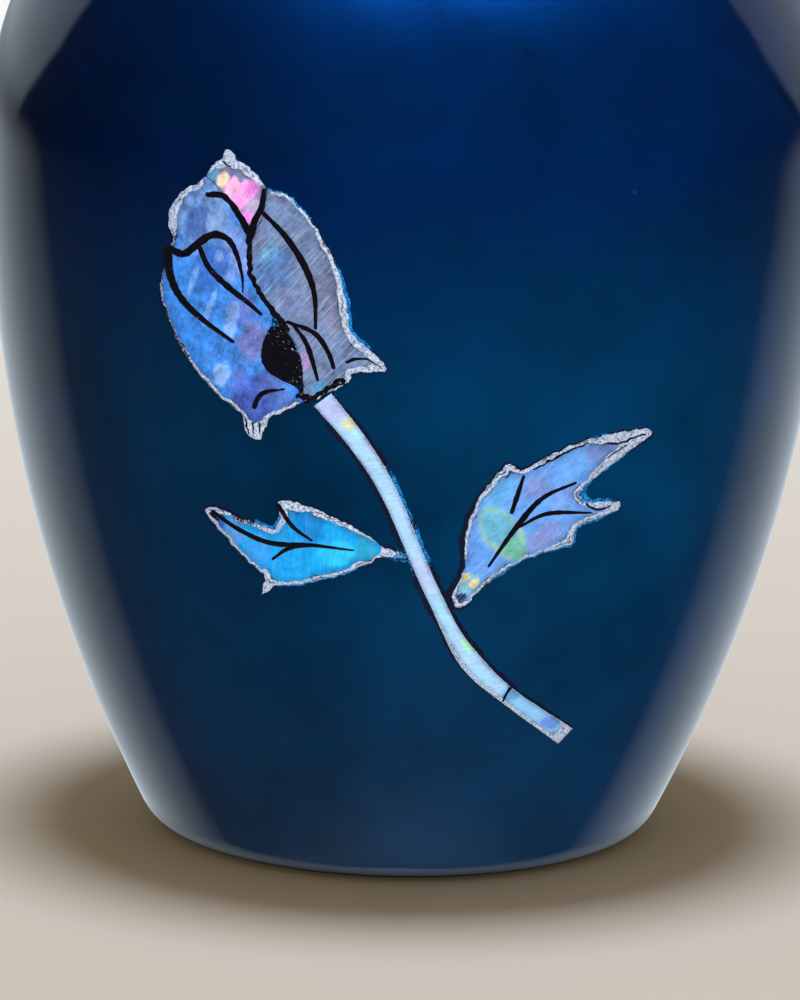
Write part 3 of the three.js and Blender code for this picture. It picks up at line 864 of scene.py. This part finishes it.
# Black lines: places seen from the front, then the width at the start, middle and end, in mm, and how
# coarse the filler is. They lie on the plates and stand a little proud, the thinnest less.
lines = {
    "height": 0.16,
    "base": 0.5,
    "fullWidth": 0.5,
    "columns": 12,
    "rows": 70,
    "ragged": 0.1,
    "coarseRagged": 0.3,
    "raggedSize": 1.6,
    "coarseSway": 0.4,
    "swaySize": 1.8,
    "swaySeed": 60,
}
budLines = [
    ([(-37.2, 136.9), (-33.8, 136.9), (-31, 133.8), (-28.9, 130.2)], (1, 1.15, 1.4), 0.1),
    ([(-26.3, 138.9), (-26.8, 135.5), (-27.9, 132.9), (-29, 129.2)], (0.9, 1.15, 1.4), 0.2),
    ([(-29, 131.1), (-28.9, 126.2), (-28.5, 122.4), (-26.3, 118.6), (-23.4, 115), (-21.6, 112.6)],
     (1.2, 0.8, 1.2), 0.5),
    ([(-26.7, 134.5), (-22.5, 130.4), (-18.9, 125.1), (-17, 119.8), (-16.7, 113.2)], (0.8, 1.35, 0.55), 0),
    ([(-22.2, 114.6), (-17.1, 112.8), (-14.5, 109.5), (-13.2, 106)], (0.6, 1.05, 0.7), 0),
    ([(-20.9, 114.2), (-18.2, 110.3), (-16.1, 103.6)], (0.6, 1, 0.5), 0),
    ([(-44.3, 126.6), (-41.2, 125.6), (-38.7, 127.6), (-35.9, 129.6), (-33.3, 129.3), (-31.6, 127.1),
      (-30.3, 122.9), (-30.1, 119.2)], (1.4, 1.35, 0.25), 0.1),
    ([(-38.3, 127.4), (-36.4, 123.5), (-32.9, 120.3), (-28.9, 117.4), (-26.5, 115.4)], (1, 1.25, 0.65), 0),
    ([(-44.2, 126.8), (-43.6, 121.3), (-41.5, 117.2), (-37.5, 113.7), (-31.5, 109.8)], (1.7, 1.35, 0.65), 0),
    ([(-28, 97.6), (-26.4, 100.6), (-22.1, 101.9)], (0.9, 0.95, 0.3), 0.1),
    ([(-20.2, 101), (-17.6, 100.4), (-14.4, 102.2), (-11.2, 104.4)], (1, 1.1, 1.5), 0.8),
    ([(-19.6, 104), (-19.2, 101.4), (-17.8, 99.4)], (1, 1, 1), 0.9),
    ([(-11.2, 107.6), (-8.6, 108.3), (-5.8, 107.5), (-4.5, 106.5)], (0.8, 0.35, 0.2), 0.3),
    ([(-29.4, 95.6), (-29.2, 93.9), (-28.7, 92.6)], (0.3, 0.35, 0.2), 0.3),
    ([(-28.2, 95.1), (-27.9, 92.8)], (0.25, 0.35, 0.2), 0.3),
    ([(-26.9, 95.3), (-26.8, 93)], (0.35, 0.3, 0.2), 0.3),
    ([(-34, 143.3), (-33.4, 142.6), (-32.4, 142.3)], (0.35, 0.35, 0.2), 0.3),
]
leafLines = [
    ([(-35.9, 77), (-30.4, 73.7), (-24.5, 71.7), (-17, 71.9), (-9, 71.3)], (0.8, 1.1, 0.35), 0),
    ([(-23.4, 79.6), (-20.6, 75.4), (-16.8, 72.7)], (0.8, 0.9, 0.45), 0),
    ([(-24.4, 68.4), (-21.1, 71), (-17, 71.8)], (0.5, 0.85, 0.5), 0),
    ([(15.5, 68.1), (20.3, 75.5), (25.2, 81.4), (31.7, 84.3)], (0.5, 1.25, 0.5), 0),
    ([(19.6, 78.6), (21.8, 86.2)], (0.7, 1, 0.6), 0),
    ([(20.9, 75.9), (26.4, 78.4), (34.8, 78)], (0.5, 0.95, 0.35), 0),
    ([(19, 40.3), (19.7, 41.9), (20.5, 43.4)], (0.35, 0.45, 0.75), 0.2),
    ([(36.7, 91.5), (39.4, 91.2), (41.8, 92), (44.4, 92.6)], (0.35, 0.4, 0.35), 0.3),
    ([(37.1, 88.6), (38.6, 89.5), (40.9, 90.8)], (0.2, 0.3, 0.2), 0.3),
    ([(33.4, 79.8), (35.6, 78.6), (38.3, 79)], (0.45, 0.45, 0.3), 0.5),
    ([(18.4, 85.6), (19.5, 87)], (0.2, 0.3, 0.2), 0.2),
    ([(23.4, 87.2), (26.9, 88.9), (29.8, 90.4), (33.9, 91.8)], (0.3, 0.45, 0.3), 0.6),
    ([(-36.1, 76.6), (-35.2, 75.6), (-34.2, 75.2)], (0.5, 0.6, 0.2), 0.3),
]


# A line: an oval section carried along a smooth route, P = route + across (width / 2) cos a, with its
# height (base + height sin a); it narrows to a round end at each side.
def linePoints(places, widths, coarse, seed):
    route = through(places, lines["rows"])
    share = np.linspace(0, 1, lines["rows"])
    side = leftOf(np.gradient(route, axis=0))
    ragged = lines["ragged"] + lines["coarseRagged"] * coarse
    width = np.interp(share, [0, 0.5, 1], widths) * (1 + ragged * ripple(route, lines["raggedSize"], seed))
    sway = lines["coarseSway"] * coarse * ripple(route, lines["swaySize"], seed + lines["swaySeed"])
    route = route + side * sway[:, None]
    length = np.linalg.norm(np.diff(route, axis=0), axis=1).sum()
    toEnd = np.minimum(share, 1 - share) * length
    width = width * np.sqrt(np.clip(1 - np.clip(1 - toEnd / (width / 2), 0, 1) ** 2, 0, 1))
    angle = np.linspace(0, 2 * math.pi, lines["columns"], endpoint=False)
    reach = width[:, None] / 2 * np.cos(angle)
    height = lines["height"] * np.minimum(1, width / lines["fullWidth"])[:, None] * np.sin(angle)
    return onWall(route[:, None] + reach[..., None] * side[:, None], lines["base"] + height)


# Several meshes of one kind joined into the first
def joined(made):
    first = made[0]
    shape = bmesh.new()
    for piece in made:
        shape.from_mesh(piece.data)
    shape.to_mesh(first.data)
    shape.free()
    for piece in made[1:]:
        mesh = piece.data
        bpy.data.objects.remove(piece)
        bpy.data.meshes.remove(mesh)
    return first


def makeLines(name, strokes):
    made = []
    for order, (places, widths, coarse) in enumerate(strokes):
        grid = linePoints(places, widths, coarse, order)
        made.append(ringMesh(name, grid, resin, True, coarse=np.full(grid.shape[:2], coarse)))
    place(joined(made), "black_resin")


makeLines("bud_lines", budLines)
makeLines("leaf_veins", leafLines)
print("black lines drawn:", len(budLines), "on the bud and", len(leafLines), "on the leaves")


# Cement: a thin fillet from under each plate's edge down to the lacquer, widened where it stands for painted
# shadow. Its section is the offset from the edge, in mm inside it and as a share of the width outside, and
# the height above the wall in mm. Stations are across, up, width and how far the painted blue glints cover
# it.
cement = {
    "section": [(-0.5, -0.3), (-0.3, 0.26), (0.1, 0.22), (0.5, 0.1), (1, 0.02), (0.7, -0.3), (-0.5, -0.3)],
    "unevenness": 0.4,
    "longWaves": 5,
    "shortWaves": 1.4,
    "shortSeed": 40,
    "stations": [
        (-44, 133, 0.16, 0), (-46, 119, 0.16, 0), (-38, 102, 0.16, 0), (-28, 92, 0.2, 0),
        (-14, 101, 0.25, 0.3), (-4, 106.5, 0.2, 0), (-9.5, 113, 0.55, 0.7), (-11.6, 119, 0.6, 0.75),
        (-15, 130, 0.25, 0.2), (-20, 136.5, 0.25, 0.5), (-33, 145, 0.16, 0), (-11, 91.5, 0.8, 0),
        (-5.5, 82.5, 0.9, 0), (-1, 74, 0.95, 0), (4, 61, 0.85, 0), (7.6, 53.4, 0.4, 0), (12, 46.5, 0.15, 0),
        (17.5, 40.6, 0.15, 0), (23, 36, 0.15, 0), (28, 32.4, 0.15, 0), (-6.8, 96, 0.6, 0),
        (0.5, 83, 0.45, 0.9), (5, 74, 0.5, 1), (8, 65, 0.8, 0.2), (13, 53.5, 0.8, 0), (20, 45.5, 0.75, 0),
        (27, 39, 0.55, 0), (32.5, 31.5, 0.2, 0), (8.6, 64, 1.1, 0), (10.4, 71, 1.1, 0), (12, 78, 0.8, 0),
        (16, 85, 0.35, 0), (28, 90.6, 0.2, 0), (46, 92.6, 0.2, 0), (36, 85, 0.3, 0.8), (32.5, 81.4, 1.1, 1),
        (36, 80.6, 0.5, 0.6), (41, 79, 0.3, 0.3), (33, 74, 0.4, 0.8), (30, 71, 0.45, 0.8),
        (24, 69.3, 0.35, 0.8), (19.5, 67.6, 0.5, 1), (14, 62.5, 0.25, 0), (-20, 63, 0.35, 0.7),
        (-12, 66, 0.3, 0.8), (-26.6, 60.5, 0.16, 0), (-32, 69.6, 0.16, 0), (-30, 76.8, 0.5, 0),
        (-25.5, 75, 0.6, 0.7), (-21, 80.6, 0.16, 0), (-14, 78.6, 0.25, 0.1), (-6, 73.6, 0.16, 0),
        (-0.5, 70, 0.3, 0.4)],
}


# The section carried round the outline: P = outline + outward offset, with its height above the wall
def makeCementRing(outline, order):
    points = evenly(outline, inlay["spacing"])
    turning = (points[:, 0] * np.roll(points[:, 1], -1) - points[:, 1] * np.roll(points[:, 0], -1)).sum()
    if turning < 0:
        points = points[::-1]
    ways = [np.roll(points, -step, axis=0) - np.roll(points, step, axis=0) for step in (1, 2, 3)]
    inward = leftOf(sum(ways))
    section = np.array(cement["section"])
    # wider stations paint shadow beside the plates, and brighter ones paint blue glints
    width, bright = rimAt(points, cement["stations"])
    waves = ripple(points, cement["longWaves"], order)
    waves = waves + ripple(points, cement["shortWaves"], order + cement["shortSeed"])
    width = width * (1 + cement["unevenness"] * waves / 2)
    offset = np.where(section[:, :1] > 0, section[:, :1] * width, section[:, :1])
    grid = onWall(points - offset[..., None] * inward, section[:, 1:])
    bright = bright + np.zeros((len(section), 1))
    return ringMesh("cement_and_painted_shadow", grid, cementShadowGlintMaterial, True, bright=bright)


place(joined([makeCementRing(outline, order) for order, outline in enumerate(outlines)]), "black_resin")
print("cement laid round", len(outlines), "outlines")


# The urn's own surface, closed outside and in: profile rows turned on columns that are closer in front
def makeBody():
    wall, top, foot = body["wall"], body["widestHeight"], body["footRound"]
    rows, inside = body["rows"], body["insideRows"]
    profile = np.concatenate([
        [[0, 0]],
        arc(footCentre, foot, foot, -quarter, footAngle, rows["foot"]),
        arc(sideCentre, top, body["sideArc"], footAngle, 0, rows["side"])[1:],
        arc(shoulderCentre, top, body["shoulderArc"], 0, neckAngle, rows["shoulder"])[1:],
        arc(coveCentre, coveHeight, body["neckCove"], neckAngle + math.pi, math.pi, rows["cove"])[1:],
        arc(body["neckRadius"], lipHeight, body["lipRound"], -quarter, quarter, rows["lip"]),
        [[boreRadius, mouthHeight]],
        arc(coveCentre, coveHeight, body["neckCove"] + wall, math.pi, neckAngle + math.pi, inside["cove"]),
        arc(shoulderCentre, top, body["shoulderArc"] - wall, neckAngle, 0, inside["shoulder"])[1:],
        arc(sideCentre, top, body["sideArc"] - wall, 0, footAngle, inside["side"])[1:],
        arc(footCentre, foot, foot - wall, footAngle, -quarter, inside["foot"])[1:],
        [[0, wall]],
    ])
    front = math.radians(body["frontAngle"])
    angle = np.concatenate([
        np.linspace(-front, front, body["frontColumns"], endpoint=False),
        np.linspace(front, 2 * math.pi - front, body["restColumns"], endpoint=False)]) - quarter
    place(ringMesh("urn_shell", turned(profile, angle), lacquer), "blue_lacquer", "urn_body")


makeBody()
print("body turned")

# Lid: a plain dome with a rounded rim and a knob, and a hollow spigot that drops into the neck, in mm
lid = {
    "gap": 0.3,
    "spigotClearance": 0.6,
    "spigotDepth": 9,
    "spigotWall": 2.2,
    "rimOverhang": 3,
    "rimRound": 1.8,
    "domeRise": 13,
    "knobRadius": 8.5,
    "knobNeckRadius": 5.5,
    "knobNeckLength": 1.2,
    "rows": {"under": 14, "rim": 14, "dome": 30, "knob": 34},
    "columns": 160,
}


def makeLid():
    rows = lid["rows"]
    seat = mouthHeight + lid["gap"]
    spigotEnd = seat - lid["spigotDepth"]
    rimRadius = body["neckRadius"] + lid["rimOverhang"]
    spigotRadius = boreRadius - lid["spigotClearance"]
    hollowRadius = spigotRadius - lid["spigotWall"]
    domeFoot = seat + 2 * lid["rimRound"]
    domeRound = (rimRadius ** 2 + lid["domeRise"] ** 2) / (2 * lid["domeRise"])
    domeCentre = domeFoot + lid["domeRise"] - domeRound
    underRound = domeRound - body["wall"]
    knobStart = -math.acos(lid["knobNeckRadius"] / lid["knobRadius"])
    neckTop = math.acos(lid["knobNeckRadius"] / domeRound)
    knobCentre = domeCentre + domeRound + lid["knobNeckLength"] - lid["knobRadius"] * math.sin(knobStart)
    profile = np.concatenate([
        arc(0, domeCentre, underRound, quarter, math.acos(hollowRadius / underRound), rows["under"]),
        [[hollowRadius, spigotEnd], [spigotRadius, spigotEnd], [spigotRadius, seat]],
        arc(rimRadius, seat + lid["rimRound"], lid["rimRound"], -quarter, quarter, rows["rim"]),
        arc(0, domeCentre, domeRound, math.acos(rimRadius / domeRound), neckTop, rows["dome"]),
        arc(0, knobCentre, lid["knobRadius"], knobStart, quarter, rows["knob"]),
    ])
    profile[[0, -1], 0] = 0
    angle = np.linspace(0, 2 * math.pi, lid["columns"], endpoint=False)
    place(ringMesh("lid_shell", turned(profile, angle), lacquer), "blue_lacquer", "lid")


makeLid()
print("lid turned")

# What each light reaches
receivers = {name: bpy.data.collections.new(name + " lit") for name in ("inlay", "vessel", "floor")}
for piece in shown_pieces():
    kind = "vessel" if lacquer.name in piece.data.materials else "inlay"
    receivers[kind].objects.link(piece)

# Stage, in metres: a wide pale floor of matt paper with a fine tooth, its size in mm, with painted light
# that makes it paler far behind; and a pale dome that only the camera sees
stage = {
    "near": "#c5beb5",
    "far": "#ebf0f6",
    "farSpan": (-0.1, 1.6, 0, 1),
    "toothSize": 1.1111,
    "floorRadius": 9,
    "dome": "#e9e6e1",
    "domeRadius": 12,
    "domeFoot": -0.3,
    "rows": 24,
    "columns": 96,
}

# What the gloss mirrors: a dark room with a pale sweep behind that dims at its horizon, and a little of
# the floor from beneath. Brightness against degrees round from the front, and up from level; and a dark
# ring round the foot that paints the floor's shadow for the gloss, its cover against radius in mm.
reflector = {
    "radius": 3,
    "middle": 0.14,
    "rows": 241,
    "columns": 360,
    "low": [(90, 0.012), (110, 0.03), (119, 0.3), (130, 0.52), (140, 0.71), (152, 0.84), (180, 0.88)],
    "lowShift": [(-90, 0), (-14, 0), (-6, 5), (0, 12)],
    "leftHaze": [(40, 0), (80, 0.03), (119, 0.035), (125, 0)],
    "hazeFade": (-16, -2),
    "high": [(90, 0.012), (117, 0.02), (119.5, 0.53), (132, 0.67), (150, 0.77), (180, 0.8)],
    "highShift": [(-4, 14), (-2, 12), (5, 2), (11, -4), (21, -8), (60, -12)],
    "highFrom": (-4, -1),
    "rightShare": 0.62,
    "dip": 0.5,
    "dipHeight": -2,
    "dipWidth": 3,
    "topFade": (55, 80),
    "beneath": [(-75, 0.24), (-67, 0.2), (-58, 0.07), (-46, 0.02), (-35, 0)],
    "tone": "#e6f4ff",
    "footTone": "#000208",
    "footShade": [(0, 1), (47, 1), (55, 0)],
}


# A stage piece that neither lights the floor nor throws a shadow
def hideFromLight(piece):
    piece.visible_diffuse = False
    piece.visible_shadow = False
    piece.visible_transmission = False


# Half a ball or more, as a profile in mm from one angle above level to another, closed at the top
def ballCurve(rise, radius):
    curve = np.stack([np.cos(rise), np.sin(rise)], axis=-1) * radius / mm
    curve[-1, 0] = 0
    return curve


def makeStage():
    floorLook, add = newMaterial("matt paper sweep")
    coords = add("TexCoord", output="Object")
    # painted light: the paper grows paler towards the back
    back = add("SeparateXYZ", [coords], output=1)
    back = add("MapRange", [back, *stage["farSpan"]])
    paper = add("Mix", {0: back, 6: stage["near"], 7: stage["far"]}, "RGBA", 2)
    tooth = add("TexNoise", {"Vector": coords, "Scale": 1 / (stage["toothSize"] * mm), "Detail": 3})
    raised = add("Bump", {"Strength": 0.04, "Distance": 0.4 * mm, "Height": tooth})
    finishMaterial(add, {"Base Color": paper, "Roughness": 0.9, "Normal": raised, "Specular IOR Level": 0.1})
    angle = np.linspace(0, 2 * math.pi, stage["columns"], endpoint=False)
    rings = np.array([[0, 0], [1, 0], [stage["floorRadius"], 0]]) / mm
    floor = ringMesh("floor", turned(rings, angle), floorLook, True)
    floor.visible_glossy = False
    receivers["floor"].objects.link(floor)
    domeLook, add = newMaterial("pale backdrop")
    add("OutputMaterial", {"Surface": add("Emission", {"Color": stage["dome"]})})
    curve = ballCurve(np.linspace(stage["domeFoot"], quarter, stage["rows"]), stage["domeRadius"])
    dome = ringMesh("backdrop", turned(curve, angle), domeLook, True)
    dome.visible_glossy = False
    hideFromLight(dome)


# A table of places and values, read between them
def readTable(name, places):
    return np.interp(places, *zip(*reflector[name]))


# A ball round the urn with its brightness on its vertices; only the gloss sees it
def makeReflector():
    material, add = newMaterial("studio reflector")
    glow = add("Attribute", [], "glow", "Fac")
    light = add("Emission", {"Color": reflector["tone"], "Strength": glow})
    add("OutputMaterial", {"Surface": light})
    material.cycles.emission_sampling = "NONE"
    angle = np.linspace(0, 2 * math.pi, reflector["columns"], endpoint=False)
    level = np.linspace(-90, 90, reflector["rows"])
    curve = ballCurve(np.radians(level), reflector["radius"])
    curve[0, 0] = 0
    curve[:, 1] += reflector["middle"] / mm
    level = level[:, None]
    fromFront = np.degrees(np.arccos(-np.sin(angle)))
    haze = np.where(np.cos(angle) < 0, readTable("leftHaze", fromFront), 0)
    low = readTable("low", fromFront - readTable("lowShift", level))
    low = low + (1 - smoothStep(level, *reflector["hazeFade"])) * haze
    high = readTable("high", fromFront - readTable("highShift", level))
    high = high * np.where(np.cos(angle) > 0, reflector["rightShare"], 1)
    bright = low + smoothStep(level, *reflector["highFrom"]) * (high - low)
    dip = reflector["dip"] * np.exp(-((level - reflector["dipHeight"]) / reflector["dipWidth"]) ** 2)
    fade = 1 - smoothStep(level, *reflector["topFade"])
    bright = bright * ((1 - dip) * fade) + readTable("beneath", level)
    ball = ringMesh("reflector", turned(curve, angle), material, True, glow=bright)
    ball.visible_camera = False
    hideFromLight(ball)
    # painted shadow: a dark ring that the gloss mirrors as the floor's shadow round the foot
    shade, add = newMaterial("floor shadow round the foot for the gloss")
    cover = add("Attribute", [], "cover", "Fac")
    finishMaterial(add, {
        "Base Color": reflector["footTone"], "Roughness": 1, "Specular IOR Level": 0, "Alpha": cover})
    radius, covered = np.array(reflector["footShade"]).T
    rings = np.stack([radius, 0 * radius], axis=-1)
    ring = ringMesh("footShade", turned(rings, angle), shade, True, cover=covered[:, None] + 0 * angle)
    ring.visible_camera = False
    hideFromLight(ring)


makeStage()
makeReflector()

# Lights: where each stands and what it faces, its width and height, in metres, its power and colour, whether
# it shows in the gloss, what it lights, and the spread of its beam in degrees
lights = {
    "vesselTop": ((0.2, -0.85, 1.8), (0, 0, 0.12), (1.5, 0.5), 76, "#ffffff", True, "vessel", 180),
    "vesselFront": (
        (0.5, -1.95, 0.75), (0.034, -0.075, 0.102), (0.03, 0.18), 0.66, "#ffffff", False, "vessel", 9),
    "inlayFront": ((0, -2.2, 0.5), (0, 0, 0.09), (1.2, 0.8), 48, "#ffffff", False, "inlay", 180),
    "floorFill": ((0, 0, 2.5), (0, 0, 0), (16, 16), 354, "#ffe7bc", False, "floor", 180),
}
keyLight = {"strength": 2.65, "angle": 16, "tone": "#f0f5ff"}
room = {"tone": "#9aa2b0", "strength": 0.05}


def lookAt(item, start, target):
    ahead = np.array(target, dtype=float) - np.array(start, dtype=float)
    pitch = math.atan2(math.hypot(ahead[0], ahead[1]), -ahead[2])
    item.location = start
    item.rotation_euler = (pitch, 0, math.atan2(ahead[1], ahead[0]) - quarter)


for name, (start, target, size, power, tone, glossy, lit, spread) in lights.items():
    lamp = bpy.data.lights.new(name, "AREA")
    lamp.shape = "RECTANGLE"
    lamp.size, lamp.size_y = size
    lamp.spread = math.radians(spread)
    lamp.energy = power
    lamp.color = linearColour(tone)[:3]
    lamp.use_shadow = lit != "floor"  # the fill is even, under the urn too
    item = bpy.data.objects.new(name, lamp)
    lookAt(item, start, target)
    item.visible_camera = False
    item.visible_glossy = glossy
    item.light_linking.receiver_collection = receivers[lit]
    bpy.context.scene.collection.objects.link(item)

# Key: straight down, so that the floor's shadow is as wide as the urn
lamp = bpy.data.lights.new("overhead", "SUN")
lamp.energy = keyLight["strength"]
lamp.angle = math.radians(keyLight["angle"])
lamp.color = linearColour(keyLight["tone"])[:3]
item = bpy.data.objects.new("overhead", lamp)
item.visible_glossy = False
bpy.context.scene.collection.objects.link(item)

world = bpy.data.worlds.new("dark studio")
world.use_nodes = True
background = world.node_tree.nodes["Background"].inputs
background["Color"].default_value = linearColour(room["tone"])
background["Strength"].default_value = room["strength"]
bpy.context.scene.world = world
print("stage and", len(lights), "lights set")

# Camera: in front and a little above, pitched down at the inlay and rolled a degree, in metres and degrees
camera = {
    "start": (0, -0.9, 0.2441),
    "pitch": 11.205,
    "roll": 1.05,
    "lens": 163.7,
    "sensor": 36,
    "shiftAcross": -0.00473,
    "farthest": 60,
}
lens = bpy.data.cameras.new("camera")
lens.lens = camera["lens"]
lens.sensor_width = camera["sensor"]
lens.shift_x = camera["shiftAcross"]
lens.clip_end = camera["farthest"]
viewer = bpy.data.objects.new("camera", lens)
pitched = Matrix.Rotation(math.radians(90 - camera["pitch"]), 4, "X")
rolled = Matrix.Rotation(math.radians(camera["roll"]), 4, "Z")
viewer.matrix_world = Matrix.Translation(camera["start"]) @ (pitched @ rolled)
bpy.context.scene.collection.objects.link(viewer)
bpy.context.scene.camera = viewer
bpy.context.scene.view_settings.view_transform = "Standard"
print("camera set")
